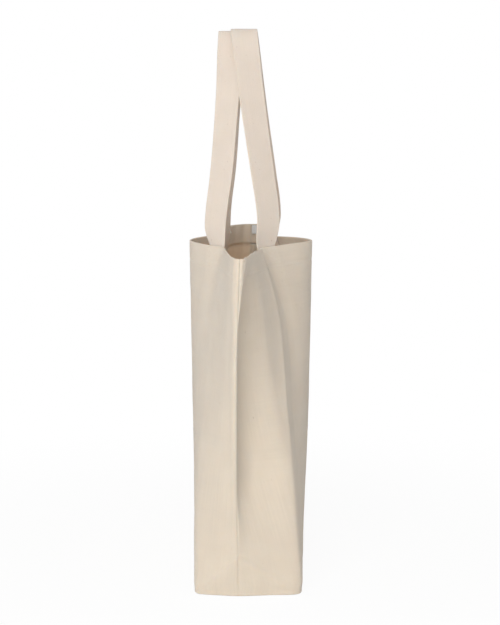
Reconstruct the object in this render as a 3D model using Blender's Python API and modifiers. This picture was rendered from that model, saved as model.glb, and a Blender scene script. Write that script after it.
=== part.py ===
"""Canvas tote bag with a boxed bottom, a turned hem and two strap handles sewn inside the hem.

Metres, +Z up, +X along the bag's width. The front faces -Y and the back +Y.
The origin lies on the floor, under the middle of the bag.
"""
import functools
import math

import bmesh
import bpy
import numpy as np
from mathutils import Matrix, Vector

# Cloth and the bag's overall sizes
BAG_WIDTH = 0.381
BAG_DEPTH = 0.114
BAG_HEIGHT = 0.389
CLOTH = 0.0009
PIECE_GAP = 0.0003
BOTTOM_RADIUS = 0.0035

# Hem, seam allowances and threads
HEM_DEPTH = 0.0254
HEM_STITCH_MARGIN = 0.0025
ALLOWANCE_WIDTH = 0.011
ALLOWANCE_START = 0.002
THREAD = 0.0005

# Handles
STRAP_WIDTH = 0.03175
STRAP_THICKNESS = 0.0016
HANDLE_SPACING = 0.158
HANDLE_RISE = 0.253
HANDLE_NESTING = 0.006
LOOP_ROUNDING = 0.040
SEWN_LENGTH = 0.021
FLEX_LENGTH = 0.030
SWING_OFFSET = 0.0135
STITCH_BOX_WIDTH = 0.025
STITCH_BOX_HEIGHT = 0.0165
STITCH_BOX_MARGIN = 0.0025

# Label on the inside of the back hem
LABEL_LENGTH = 0.025
LABEL_HEIGHT = 0.012
LABEL_THICKNESS = 0.0004
LABEL_SEAM_DISTANCE = 0.007
LABEL_DROP = 0.0015

# Plan sections of one half panel, from the middle of the panel to the side seam. Each row holds
# a height share and seven points: middle, bulge, valley, ridge, end face, nose and seam.
# A point is a share of the half width and a share of the half depth, outwards.
FRONT_SECTION_SHARES = (
    (0.00, ((0, 1.123), (0.42, 1.096), (0.84, 1.07), (1.03, 0.97),
            (1.056, 0.667), (1.07, 0.386), (1.076, 0.158))),
    (0.12, ((0, 1.143), (0.409, 1.108), (0.79, 1.06), (0.985, 0.965),
            (1.045, 0.664), (1.077, 0.384), (1.092, 0.166))),
    (0.50, ((0, 1.23), (0.399, 1.152), (0.64, 1.039), (0.819, 0.874),
            (0.966, 0.606), (1.092, 0.338), (1.16, 0.173))),
    (0.85, ((0, 1.29), (0.378, 1.014), (0.525, 0.808), (0.672, 0.67),
            (0.924, 0.456), (1.139, 0.258), (1.213, 0.137))),
    (1.00, ((0, 1.302), (0.352, 0.857), (0.499, 0.541), (0.651, 0.473),
            (0.913, 0.386), (1.165, 0.227), (1.228, 0.103))),
)
BACK_SECTION_SHARES = (
    (0.00, ((0, 1.123), (0.42, 1.1), (0.9, 1.085), (1.0, 0.975),
            (1.05, 0.491), (1.07, 0.088), (1.076, -0.158))),
    (0.12, ((0, 1.143), (0.409, 1.108), (0.83, 1.075), (0.972, 0.945),
            (1.043, 0.472), (1.075, 0.079), (1.092, -0.166))),
    (0.50, ((0, 1.247), (0.378, 1.16), (0.577, 1.013), (0.787, 0.797),
            (0.966, 0.346), (1.097, -0.026), (1.16, -0.173))),
    (0.85, ((0, 1.29), (0.346, 0.98), (0.446, 0.705), (0.588, 0.515),
            (0.892, 0.215), (1.155, -0.043), (1.213, -0.137))),
    (1.00, ((0, 1.302), (0.341, 0.634), (0.478, 0.314), (0.619, 0.232),
            (0.882, 0.111), (1.165, -0.018), (1.228, -0.103))),
)

# How far the left end of the mouth stands wider open than the right one: by column, a share of the
# half depth at the rim. It starts at a share of the height.
MOUTH_SPREAD_SHARES = ((0, 0), (2, 0), (2.2, 0), (3, 0.05), (4, 0.22), (5, 0.25), (6, 0))
MOUTH_SPREAD_START_SHARE = 0.45

# Along a handle's leg, by its share of the rise: the share of its lean inwards that it has made,
# and the share of its quarter turn from the hem's direction to square across the bag.
FRONT_LEAN_SHARES = ((0, 0), (0.08, -0.14), (0.16, -0.06), (0.3, 0.23), (0.6, 0.62), (1, 1))
BACK_LEAN_SHARES = ((0, 0), (0.08, 0.02), (0.16, 0.05), (0.3, 0.21), (0.6, 0.57), (1, 1))
FRONT_TURN_SHARES = ((0, 0), (0.08, 0.32), (0.16, 0.38), (0.3, 0.42), (0.6, 0.48), (0.8, 0.62), (1, 1))
BACK_TURN_SHARES = ((0, 0), (0.08, 0.32), (0.16, 0.38), (0.3, 0.44), (0.6, 0.58), (0.8, 0.72), (1, 1))
# Where a handle's top lies, as a share of the half depth from the middle, outwards
FRONT_TOP_SHARE = 0.4
BACK_TOP_SHARE = -0.145
# By its share of the rise, how far the front handle draws in under the back one
NESTING_SHARES = ((0, 0), (0.3, 0), (0.55, 1), (0.85, 1), (1, 0.42))

# Mesh density
COLUMNS_PER_SPAN = 3
WALL_ROW_SHARES = (0.0, 0.035, 0.09, 0.2, 0.34, 0.5, 0.66, 0.8, 0.9, 1.0)
HEM_ROW_SHARES = (0.0, 0.5, 1.0)
EDGE_ROWS = 3
FLOOR_ROWS = 3
FREE_EDGE_COLUMNS = 4
STRAP_COLUMNS = 4
LEG_ROWS = 22
FLEX_ROWS = 4
STITCH_CUTS = 5
CURVE_STEPS = 400
SEARCH_STEPS = 40

# Values that follow from the sizes above
HALF_WIDTH = BAG_WIDTH / 2
HALF_DEPTH = BAG_DEPTH / 2
FRONT = -1
BACK = 1
SPANS = len(FRONT_SECTION_SHARES[0][1]) - 1
LAYER = CLOTH + PIECE_GAP
HEM_BOTTOM = BAG_HEIGHT - HEM_DEPTH
HEM_STITCH_HEIGHT = HEM_BOTTOM + HEM_STITCH_MARGIN
STRAP_DEPTH = 2 * LAYER
STITCH_DEPTH = -(PIECE_GAP + THREAD)
STRAP_FACES = STRAP_THICKNESS / 2, -STRAP_THICKNESS / 2
RIGHT = 1
LEFT = -1
SMALL_STEP = 1e-4
MERGE_DISTANCE = 1e-6
SHARP_ANGLE = math.radians(40)

CANVAS_COLOUR = (0.74, 0.64, 0.52, 1.0)
HEM_COLOUR = (0.71, 0.60, 0.48, 1.0)
STRAP_COLOUR = (0.78, 0.68, 0.57, 1.0)
THREAD_COLOUR = (0.80, 0.72, 0.60, 1.0)
LABEL_COLOUR = (0.86, 0.86, 0.84, 1.0)
CANVAS_ROUGHNESS = 0.92
THREAD_ROUGHNESS = 0.75
LABEL_ROUGHNESS = 0.6


# Curves through points
def between(first, last, first_slope, last_slope, share):
    """A cubic from one point to the next, with the given slopes per whole span."""
    square = share * share
    cube = square * share
    return (
        (2 * cube - 3 * square + 1) * first
        + (cube - 2 * square + share) * first_slope
        + (3 * square - 2 * cube) * last
        + (cube - square) * last_slope
    )


def through(places, values, at):
    """A smooth curve through values given at rising places."""
    places = np.asarray(places, float)
    values = np.asarray(values, float)
    steps = np.diff(places)
    rises = (np.diff(values, axis=0).T / steps).T
    slopes = np.empty_like(values)
    slopes[0] = rises[0]
    slopes[-1] = rises[-1]
    for i in range(1, len(places) - 1):
        whole = steps[i - 1] + steps[i]
        slopes[i] = (rises[i - 1] * steps[i] + rises[i] * steps[i - 1]) / whole
    i = int(np.clip(np.searchsorted(places, at) - 1, 0, len(steps) - 1))
    share = (at - places[i]) / steps[i]
    return between(values[i], values[i + 1], slopes[i] * steps[i], slopes[i + 1] * steps[i], share)


def from_shares(table, at):
    """The value at one share, from a table of share and value pairs."""
    places, values = zip(*table)
    return float(through(places, values, at))


def smooth(share):
    """Rises from 0 to 1 with level ends."""
    share = min(max(share, 0), 1)
    return share * share * (3 - 2 * share)


# The bag's surface
@functools.cache
def section_points(side, height):
    """The seven plan points of one half panel at a height."""
    table = FRONT_SECTION_SHARES if side == FRONT else BACK_SECTION_SHARES
    heights = [row[0] for row in table]
    points = through(heights, [row[1] for row in table], height / BAG_HEIGHT)
    return points * (HALF_WIDTH, side * HALF_DEPTH)


@functools.cache
def left_spread(column, height):
    """How much further out a column of the left half lies than its fellow on the right."""
    start = MOUTH_SPREAD_START_SHARE
    share = smooth((height / BAG_HEIGHT - start) / (1 - start))
    return HALF_DEPTH * from_shares(MOUTH_SPREAD_SHARES, column) * share


def plan_point(side, column, height):
    """Plan place of a column, 0 at the panel's middle and SPANS at the right-hand seam."""
    points = section_points(side, height)
    lengths = np.linalg.norm(np.diff(points, axis=0), axis=1)
    chords = (np.diff(points, axis=0).T / lengths).T
    slopes = np.empty_like(points)
    slopes[0] = (1, 0)
    slopes[-1] = (0, -side)
    for i in range(1, SPANS):
        whole = lengths[i - 1] + lengths[i]
        slopes[i] = (chords[i - 1] * lengths[i] + chords[i] * lengths[i - 1]) / whole
    i = min(int(abs(column)), SPANS - 1)
    share = abs(column) - i
    x, y = between(points[i], points[i + 1], slopes[i] * lengths[i], slopes[i + 1] * lengths[i], share)
    if column < 0:
        y += side * left_spread(-column, height)
    return math.copysign(x, column), y


def outer_point(side, column, height):
    x, y = plan_point(side, column, height)
    return np.array((x, y, height))


def wall_normal(side, column, height):
    """The outward direction, square to the cloth."""
    step = min(SMALL_STEP, SPANS - abs(column)) or -SMALL_STEP
    step = math.copysign(step, step * (column or 1))
    along = (outer_point(side, column + step, height) - outer_point(side, column, height)) / step
    up = outer_point(side, column, height + SMALL_STEP) - outer_point(side, column, height - SMALL_STEP)
    normal = np.cross(along, up) * -side
    return normal / np.linalg.norm(normal)


def wall_point(side, column, height, depth):
    """A point of the wall, as deep inside the outer face as told."""
    return outer_point(side, column, height) - wall_normal(side, column, height) * depth


def floor_normal(side, column):
    """The level direction out of the wall where the bottom edge starts."""
    normal = wall_normal(side, column, BOTTOM_RADIUS)
    normal[2] = 0
    return normal / np.linalg.norm(normal)


def edge_point(side, column, share, depth):
    """Round the bottom edge: share 0 at the wall, 1 at the floor."""
    out = floor_normal(side, column)
    angle = share * math.pi / 2
    centre = outer_point(side, column, BOTTOM_RADIUS) - out * BOTTOM_RADIUS
    turned = out * math.cos(angle) - np.array((0, 0, 1)) * math.sin(angle)
    return centre + turned * (BOTTOM_RADIUS - depth)


@functools.cache
def seam_column():
    """The last column of a panel, half a gap short of the seam."""
    span = np.linalg.norm(np.diff(section_points(FRONT, BAG_HEIGHT), axis=0)[-1])
    return SPANS - PIECE_GAP / 2 / span


def floor_point(side, column, share, depth):
    """On the floor: share 0 at the bottom edge, 1 at the bottom seam in the middle."""
    edge = edge_point(side, column, 1, depth)
    corner = edge_point(side, seam_column(), 1, depth)
    reach = corner[0] - HALF_DEPTH
    turn = SPANS / 2
    if abs(column) <= turn:
        inner_x = edge[0] * reach / edge_point(side, turn, 1, depth)[0]
    else:
        part = (abs(column) - turn) / (seam_column() - turn)
        inner_x = math.copysign(reach + (corner[0] - reach) * part, column)
    middle = np.array((inner_x, corner[1], depth))
    return edge + (middle - edge) * share


def arc_column(side, start, distance):
    """The column that lies a distance from a starting column, along the rim."""
    origin = wall_point(side, start, BAG_HEIGHT, STRAP_DEPTH)
    low, high = (start, float(SPANS)) if distance > 0 else (0.0, start)
    for _ in range(SEARCH_STEPS):
        middle = (low + high) / 2
        far = np.linalg.norm(wall_point(side, middle, BAG_HEIGHT, STRAP_DEPTH) - origin) > abs(distance)
        if far == (distance > 0):
            high = middle
        else:
            low = middle
    return (low + high) / 2


def column_at(side, x):
    """The column right of the middle whose rim point lies at a place along the width."""
    low, high = 0.0, float(SPANS)
    for _ in range(SEARCH_STEPS):
        middle = (low + high) / 2
        if plan_point(side, middle, BAG_HEIGHT)[0] > x:
            high = middle
        else:
            low = middle
    return (low + high) / 2


@functools.cache
def strap_columns(side):
    """The columns under a sewn strap end, from its far edge to its near one."""
    middle = column_at(side, HANDLE_SPACING / 2)
    shares = np.linspace(-1, 1, STRAP_COLUMNS + 1)
    return [arc_column(side, middle, share * STRAP_WIDTH / 2) if share else middle for share in shares]


def column_from_seam(end, height, distance):
    """The column, counted from the middle, that lies a distance from a side seam on the back panel."""
    seam = wall_point(BACK, end * SPANS, height, LAYER)
    low, high = SPANS / 2, float(SPANS)
    for _ in range(SEARCH_STEPS):
        middle = (low + high) / 2
        if np.linalg.norm(wall_point(BACK, end * middle, height, LAYER) - seam) > distance:
            low = middle
        else:
            high = middle
    return (low + high) / 2


@functools.cache
def label_columns():
    """The columns at the two ends of the label, left of the middle."""
    distances = LABEL_SEAM_DISTANCE, LABEL_SEAM_DISTANCE + LABEL_LENGTH
    return [-column_from_seam(LEFT, BAG_HEIGHT, distance) for distance in distances]


@functools.cache
def panel_columns(side):
    """Every column of a panel, rising, with those that its straps and label need.

    They are twice as close in the last span, which turns round the nose of an end.
    """
    last = seam_column()
    plain = [i / COLUMNS_PER_SPAN for i in range(SPANS * COLUMNS_PER_SPAN)]
    plain += [SPANS - (i + 0.5) / COLUMNS_PER_SPAN for i in range(COLUMNS_PER_SPAN)]
    half = plain + strap_columns(side)
    columns = {round(sign * c, 6) for c in half for sign in (LEFT, RIGHT)} | {last, -last}
    if side == BACK:
        columns |= {round(c, 6) for c in label_columns()}
    return thinned(sorted(columns), side)


def thinned(columns, side):
    """Leaves out a plain column that lies almost on a strap's or the label's edge."""
    kept = {round(sign * c, 6) for c in strap_columns(side) for sign in (LEFT, RIGHT)}
    kept |= {round(c, 6) for c in label_columns()} | {columns[0], columns[-1], 0.0}
    closest = 1 / (3 * COLUMNS_PER_SPAN)
    return [c for c in columns if c in kept or min(abs(c - k) for k in kept) > closest]


def within(columns, low, high):
    """The columns from low to high, both among them."""
    return [c for c in columns if low - SMALL_STEP < c < high + SMALL_STEP]


# Building objects
def make_material(name, colour, roughness):
    material = bpy.data.materials.new(name)
    material.use_nodes = True
    material.diffuse_color = colour
    shader = material.node_tree.nodes["Principled BSDF"]
    shader.inputs["Base Color"].default_value = colour
    shader.inputs["Roughness"].default_value = roughness
    shader.inputs["Metallic"].default_value = 0.0
    return material


def add_object(name, mesh, material, origin=(0, 0, 0)):
    """Links a mesh, with the object's origin moved to where its joint turns."""
    thing = bpy.data.objects.new(name, mesh)
    mesh.materials.append(material)
    mesh.shade_smooth()
    mesh.set_sharp_from_angle(angle=SHARP_ANGLE)
    mesh.transform(Matrix.Translation(-Vector(origin)))
    thing.location = origin
    bpy.data.collections["tote_bag"].objects.link(thing)
    return thing


def border(columns, rows):
    """The places of a grid's border points, once round."""
    bottom = list(range(columns))
    right = [row * columns + columns - 1 for row in range(1, rows)]
    top = [(rows - 1) * columns + column for column in reversed(range(columns - 1))]
    left = [row * columns for row in reversed(range(1, rows - 1))]
    return bottom + right + top + left


def sheet(name, outer_rows, inner_rows, material, origin=(0, 0, 0)):
    """A closed sheet of cloth, lofted between the rows of its outer and of its inner face."""
    bm = bmesh.new()
    columns = len(outer_rows[0])
    faces = []
    for rows in (outer_rows, inner_rows):
        grid = bmesh.ops.create_grid(bm, x_segments=columns - 1, y_segments=len(rows) - 1, size=1)
        points = [point for row in rows for point in row]
        for vertex, point in zip(grid["verts"], points):
            vertex.co = point
        faces.append(grid["verts"])
    outer, inner = faces
    edge = border(columns, len(outer_rows))
    for first, second in zip(edge, edge[1:] + edge[:1]):
        bm.faces.new((outer[second], outer[first], inner[first], inner[second]))
    bmesh.ops.remove_doubles(bm, verts=bm.verts, dist=MERGE_DISTANCE)
    bmesh.ops.recalc_face_normals(bm, faces=bm.faces)
    mesh = bpy.data.meshes.new(name)
    bm.to_mesh(mesh)
    bm.free()
    return add_object(name, mesh, material, origin)


def outward(side, columns):
    """Columns in the order that turns a sheet's face outwards."""
    return list(columns) if side == FRONT else list(reversed(columns))


# The cloth pieces
def wall_rows(side, columns, heights, depth):
    return [[wall_point(side, c, height, depth) for c in columns] for height in heights]


def wall_sheet(name, side, columns, heights, depth, thickness, material):
    """A sheet that lies against the wall, its outer face as deep inside as told."""
    columns = outward(side, columns)
    outer = wall_rows(side, columns, heights, depth)
    inner = wall_rows(side, columns, heights, depth + thickness)
    return sheet(name, outer, inner, material)


def stitch_heights():
    return [HEM_STITCH_HEIGHT - THREAD / 2, HEM_STITCH_HEIGHT + THREAD / 2]


def hem_heights():
    """Row heights of the hem, with those that its stitching needs."""
    rows = [HEM_BOTTOM + share * HEM_DEPTH for share in HEM_ROW_SHARES]
    return sorted(rows + stitch_heights())


def panel_heights():
    """Row heights from the bottom edge to the rim, with those of the hem."""
    wall = HEM_BOTTOM - BOTTOM_RADIUS
    return [BOTTOM_RADIUS + share * wall for share in WALL_ROW_SHARES[:-1]] + hem_heights()


def panel_rows(side, columns, depth):
    """The rows of a panel, from the bottom seam across the floor and up to the rim."""
    floor = [1 - i / FLOOR_ROWS for i in range(FLOOR_ROWS)]
    edge = [1 - i / EDGE_ROWS for i in range(EDGE_ROWS)]
    rows = [[floor_point(side, c, share, depth) for c in columns] for share in floor]
    rows += [[edge_point(side, c, share, depth) for c in columns] for share in edge]
    return rows + wall_rows(side, columns, panel_heights(), depth)


def make_panel(name, side, material):
    """Half of the bag: a face, half of each end and half of the bottom."""
    columns = outward(side, panel_columns(side))
    return sheet(name, panel_rows(side, columns, 0), panel_rows(side, columns, CLOTH), material)


def make_hem(name, side, material):
    """The turned-in layer of cloth under the rim."""
    return wall_sheet(name, side, panel_columns(side), hem_heights(), LAYER, CLOTH, material)


def make_hem_stitching(name, side, material):
    return wall_sheet(name, side, panel_columns(side), stitch_heights(), STITCH_DEPTH, THREAD, material)


def box_seam_top():
    return BOTTOM_RADIUS + ALLOWANCE_START + ALLOWANCE_WIDTH


def side_allowance_rows(end, depth):
    """Rows at the panel's own heights and, but for the stretch at the free edge, its own columns."""
    bottom = box_seam_top() + PIECE_GAP
    top = HEM_BOTTOM - PIECE_GAP
    heights = [bottom] + [height for height in panel_heights() if bottom < height < top] + [top]
    edges = [column_from_seam(end, height, ALLOWANCE_WIDTH) for height in heights]
    shared = sorted(end * c for c in panel_columns(BACK) if end * c > max(edges))
    rows = []
    for height, edge in zip(heights, edges):
        free = np.linspace(edge, shared[0], FREE_EDGE_COLUMNS, endpoint=False)
        columns = outward(BACK, sorted(end * c for c in [*free, *shared]))
        rows.append([wall_point(BACK, c, height, depth) for c in columns])
    return rows


def make_side_allowance(name, end, material):
    """Both raw edges of a side seam, folded against the inside of the back panel."""
    outer = side_allowance_rows(end, LAYER)
    inner = side_allowance_rows(end, LAYER + 2 * CLOTH)
    return sheet(name, outer, inner, material)


def box_allowance_rows(end, depth):
    half = [SPANS - 2 + share for share in np.linspace(0, 2, 2 * COLUMNS_PER_SPAN + 1)]
    route = [(FRONT, c) for c in half] + [(BACK, c) for c in reversed(half[:-1])]
    heights = [BOTTOM_RADIUS + ALLOWANCE_START + share * ALLOWANCE_WIDTH for share in HEM_ROW_SHARES]
    return [[wall_point(side, end * c, height, depth) for side, c in route] for height in heights]


def make_box_allowance(name, end, material):
    """The allowance of the seam across an end's bottom edge, turned up inside."""
    return sheet(name, box_allowance_rows(end, LAYER), box_allowance_rows(end, LAYER + 2 * CLOTH), material)


def make_bottom_allowance(name, material):
    """The allowance of the seam along the bottom, folded to the back."""
    corner = edge_point(FRONT, seam_column(), 1, 0)
    reach = corner[0] - ALLOWANCE_WIDTH
    xs = np.linspace(-reach, reach, SPANS * COLUMNS_PER_SPAN)
    ys = corner[1], corner[1] + ALLOWANCE_WIDTH
    outer = [[(x, y, LAYER) for x in xs] for y in ys]
    inner = [[(x, y, LAYER + 2 * CLOTH) for x in xs] for y in ys]
    return sheet(name, outer, inner, material)


# The handles
def sewn_columns(side, end):
    columns = strap_columns(side)
    return [end * c for c in columns]


def make_sewn_end(name, side, end, material):
    """The end of a strap, sewn flat to the inside of the hem."""
    heights = np.linspace(BAG_HEIGHT - SEWN_LENGTH, BAG_HEIGHT, len(HEM_ROW_SHARES))
    columns = sorted(sewn_columns(side, end))
    return wall_sheet(name, side, columns, heights, STRAP_DEPTH, STRAP_THICKNESS, material)


@functools.cache
def rim_edges(side):
    """Where the strap's two edges cross the rim on the right, in the middle of its thickness."""
    columns = strap_columns(side)
    depth = STRAP_DEPTH + STRAP_THICKNESS / 2
    return [wall_point(side, c, BAG_HEIGHT, depth) for c in (columns[0], columns[-1])]


@functools.cache
def loop_outline(side):
    """Places along the right leg from the rim to the top, as (x, height above the rim)."""
    far, near = rim_edges(side)
    start = (far[0] + near[0]) / 2
    reach = math.hypot(start, LOOP_ROUNDING) - LOOP_ROUNDING
    outline = []
    for x in np.linspace(start, 0, CURVE_STEPS):
        slant = math.hypot(x, LOOP_ROUNDING)
        place = np.array((x, HANDLE_RISE * (1 - (slant - LOOP_ROUNDING) / reach)))
        if side == FRONT:
            out = np.array((HANDLE_RISE / reach * x / slant, 1))
            nesting = HANDLE_NESTING * from_shares(NESTING_SHARES, place[1] / HANDLE_RISE)
            place = place - out / np.linalg.norm(out) * nesting
        outline.append(place)
    return np.array(outline)


@functools.cache
def leg_lines(side):
    """Lines across the right leg, from the rim to the top, evenly spaced: middle, across and rise."""
    outline = loop_outline(side)
    lengths = np.concatenate([[0], np.cumsum(np.linalg.norm(np.diff(outline, axis=0), axis=1))])
    far, near = rim_edges(side)
    start_y = (far[1] + near[1]) / 2
    across = near - far
    start_turn = math.atan2(abs(across[1]), across[0])
    lean = FRONT_LEAN_SHARES if side == FRONT else BACK_LEAN_SHARES
    turn = FRONT_TURN_SHARES if side == FRONT else BACK_TURN_SHARES
    top_y = side * HALF_DEPTH * (FRONT_TOP_SHARE if side == FRONT else BACK_TOP_SHARE)
    top_rise = outline[-1][1]

    def line(distance):
        x = np.interp(distance, lengths, outline[:, 0])
        rise = np.interp(distance, lengths, outline[:, 1])
        share = rise / top_rise
        y = start_y + (top_y - start_y) * from_shares(lean, share)
        angle = start_turn + (math.pi / 2 - start_turn) * from_shares(turn, share)
        middle = np.array((x, y, BAG_HEIGHT + rise))
        return middle, np.array((math.cos(angle), -side * math.sin(angle), 0))

    return line, lengths[-1]


def strap_line(side, distance, offset):
    """The row of points across the strap, a distance along the right leg from the rim.

    The offset is the row's distance from the middle of the strap's thickness.
    """
    line, whole = leg_lines(side)
    middle, across = line(distance)
    before, _ = line(max(distance - SMALL_STEP, 0))
    after, _ = line(min(distance + SMALL_STEP, whole))
    along = after - before
    if distance >= whole:
        along = np.array((-1.0, 0, 0))
    along = along / np.linalg.norm(along)
    # The first row stays level on the sewn end, and higher rows lie square to the leg
    squared = np.clip(distance / FLEX_LENGTH, 0, 1)
    across = across - along * np.dot(across, along) * squared
    across = across / np.linalg.norm(across)
    out = np.cross(across, along)
    out = out / np.linalg.norm(out)
    shares = np.linspace(-0.5, 0.5, STRAP_COLUMNS + 1)
    return [middle + across * STRAP_WIDTH * share + out * offset for share in shares]


def leg_rows(side, end, distances, offset):
    """Rows up the right leg, or up its mirror image on the left."""
    rows = [strap_line(side, distance, offset) for distance in distances]
    return [[point * (end, 1, 1) for point in row] for row in rows]


@functools.cache
def flex_end_distance(side):
    """How far along the leg the strap has risen by the flexing length."""
    outline = loop_outline(side)
    lengths = np.concatenate([[0], np.cumsum(np.linalg.norm(np.diff(outline, axis=0), axis=1))])
    return float(np.interp(FLEX_LENGTH, outline[:, 1], lengths))


def make_flex(name, side, end, material):
    """The short stretch above the rim where a handle bends as it swings."""
    distances = np.linspace(PIECE_GAP, flex_end_distance(side), FLEX_ROWS + 1)
    outer, inner = (leg_rows(side, end, distances, offset) for offset in STRAP_FACES)
    return sheet(name, outer, inner, material)


def swing_axis(side):
    """A point on a handle's swing axis: half the flex up, and outside, so that it clears the rim."""
    far, near = rim_edges(side)
    return 0.0, (far[1] + near[1]) / 2 + side * SWING_OFFSET, BAG_HEIGHT + FLEX_LENGTH / 2


def make_handle(name, side, material):
    """The loop of a handle above its two flexing stretches."""
    _, whole = leg_lines(side)
    distances = np.linspace(flex_end_distance(side) + PIECE_GAP, whole, LEG_ROWS)
    loops = []
    for offset in STRAP_FACES:
        right = leg_rows(side, RIGHT, distances, offset)
        left = leg_rows(side, LEFT, distances[:-1], offset)
        loops.append(right + left[::-1])
    return sheet(name, *loops, material, origin=swing_axis(side))


# Small pieces
def box_and_cross():
    """A flat box with a cross in it, drawn in a unit square as a bmesh of thin strips."""
    wide = THREAD / STITCH_BOX_WIDTH
    high = THREAD / STITCH_BOX_HEIGHT
    bm = bmesh.new()
    corners = [bm.verts.new((x, y, 0)) for x, y in ((0, 0), (1, 0), (1, 1), (0, 1))]
    centre = (0.5, 0.5)
    holes = []
    for i in range(4):
        (x0, y0), (x1, y1) = corners[i].co.xy, corners[(i + 1) % 4].co.xy
        inward = np.sign(np.array(centre) - ((x0 + x1) / 2, (y0 + y1) / 2)) * (wide, high)
        along = np.sign((x1 - x0, y1 - y0)) * (wide, high)
        first = np.array((x0, y0)) + inward + 2 * along
        last = np.array((x1, y1)) + inward - 2 * along
        tip = np.array(centre) - inward
        holes.append([bm.verts.new((*point, 0)) for point in (first, last, tip)])
    for i in range(4):
        after = (i + 1) % 4
        bm.faces.new((corners[i], corners[after], holes[i][1], holes[i][0]))
        bm.faces.new((corners[after], holes[after][0], holes[i][1]))
        bm.faces.new((holes[i][1], holes[after][0], holes[after][2], holes[i][2]))
    bm.faces.new([hole[2] for hole in holes])
    long = [edge for edge in bm.edges if edge.is_boundary]
    bmesh.ops.subdivide_edges(bm, edges=long, cuts=STITCH_CUTS, use_grid_fill=True)
    return bm


def make_box_stitching(name, side, end, material):
    """The box and cross that hold a strap end, on the outside of the hem."""
    columns = sewn_columns(side, RIGHT)
    middle = columns[len(columns) // 2]
    low = arc_column(side, middle, -STITCH_BOX_WIDTH / 2)
    high = arc_column(side, middle, STITCH_BOX_WIDTH / 2)
    bottom = BAG_HEIGHT - STITCH_BOX_MARGIN - STITCH_BOX_HEIGHT
    bm = box_and_cross()
    for vertex in bm.verts:
        column = end * (low + (high - low) * vertex.co.x)
        height = bottom + vertex.co.y * STITCH_BOX_HEIGHT
        vertex.co = wall_point(side, column, height, STITCH_DEPTH)
    if side * end > 0:
        bmesh.ops.reverse_faces(bm, faces=bm.faces)
    mesh = bpy.data.meshes.new(name)
    bm.to_mesh(mesh)
    bm.free()
    thing = add_object(name, mesh, material)
    solid = thing.modifiers.new("thickness", "SOLIDIFY")
    solid.thickness = THREAD
    return thing


def make_label(name, material):
    """A small blank woven label on the inside of the back hem."""
    low, high = label_columns()
    columns = within(panel_columns(BACK), low, high)
    top = BAG_HEIGHT - LABEL_DROP
    heights = top - LABEL_HEIGHT, top
    return wall_sheet(name, BACK, columns, heights, 2 * LAYER, LABEL_THICKNESS, material)


def clear_scene():
    for thing in list(bpy.data.objects):
        bpy.data.objects.remove(thing, do_unlink=True)


def build():
    clear_scene()
    collection = bpy.data.collections.new("tote_bag")
    bpy.context.scene.collection.children.link(collection)
    canvas = make_material("canvas", CANVAS_COLOUR, CANVAS_ROUGHNESS)
    hem = make_material("hem_canvas", HEM_COLOUR, CANVAS_ROUGHNESS)
    strap = make_material("strap_canvas", STRAP_COLOUR, CANVAS_ROUGHNESS)
    thread = make_material("cotton_thread", THREAD_COLOUR, THREAD_ROUGHNESS)
    label = make_material("label_tape", LABEL_COLOUR, LABEL_ROUGHNESS)
    for side, face in ((FRONT, "front"), (BACK, "back")):
        make_panel(face + "_panel", side, canvas)
        make_hem(face + "_hem", side, hem)
        make_hem_stitching(face + "_hem_stitching", side, thread)
        make_handle(face + "_handle", side, strap)
        for end, hand in ((LEFT, "left"), (RIGHT, "right")):
            make_sewn_end(f"{face}_handle_{hand}_sewn_end", side, end, strap)
            make_flex(f"{face}_handle_{hand}_flex", side, end, strap)
            make_box_stitching(f"{face}_handle_{hand}_stitching", side, end, thread)
    for end, hand in ((LEFT, "left"), (RIGHT, "right")):
        make_side_allowance(hand + "_side_seam_allowance", end, hem)
        make_box_allowance(hand + "_bottom_corner_allowance", end, hem)
    make_bottom_allowance("bottom_seam_allowance", hem)
    make_label("hem_label", label)


build()
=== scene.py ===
"""Looks of a natural canvas tote bag that stands open, seen square onto one of its narrow ends.

Metres, +Z up, +X along the bag's width towards the end that faces the camera. The front faces -Y.
"""

import functools
import math
import random

import bmesh
import bpy
import numpy as np
from mathutils import Matrix, Vector, noise


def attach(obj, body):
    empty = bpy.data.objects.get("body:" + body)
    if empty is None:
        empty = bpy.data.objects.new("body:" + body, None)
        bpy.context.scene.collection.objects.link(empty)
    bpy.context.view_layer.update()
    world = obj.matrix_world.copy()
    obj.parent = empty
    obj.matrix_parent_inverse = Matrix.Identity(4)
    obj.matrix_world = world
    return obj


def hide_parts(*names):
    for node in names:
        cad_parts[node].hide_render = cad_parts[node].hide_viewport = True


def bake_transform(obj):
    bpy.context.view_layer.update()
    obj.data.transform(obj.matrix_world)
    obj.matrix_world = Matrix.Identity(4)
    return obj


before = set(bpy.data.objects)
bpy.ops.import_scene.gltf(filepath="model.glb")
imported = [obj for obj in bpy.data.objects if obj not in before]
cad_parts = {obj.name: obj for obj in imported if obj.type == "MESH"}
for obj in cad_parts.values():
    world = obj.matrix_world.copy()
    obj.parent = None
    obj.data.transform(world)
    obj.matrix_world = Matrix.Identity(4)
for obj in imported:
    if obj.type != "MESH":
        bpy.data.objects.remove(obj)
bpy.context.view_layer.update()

# Cloth and the bag's overall sizes
BAG_WIDTH = 0.381
BAG_DEPTH = 0.114
BAG_HEIGHT = 0.389
CLOTH = 0.0009
PIECE_GAP = 0.0003
BOTTOM_RADIUS = 0.0018
HEM_DEPTH = 0.0254
HEM_STITCH_MARGIN = 0.0025
ALLOWANCE_WIDTH = 0.011
ALLOWANCE_START = 0.002
ALLOWANCE_SPLAY = 0.0003
THREAD = 0.0005
SEAM_GAP = 0.00004

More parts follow.
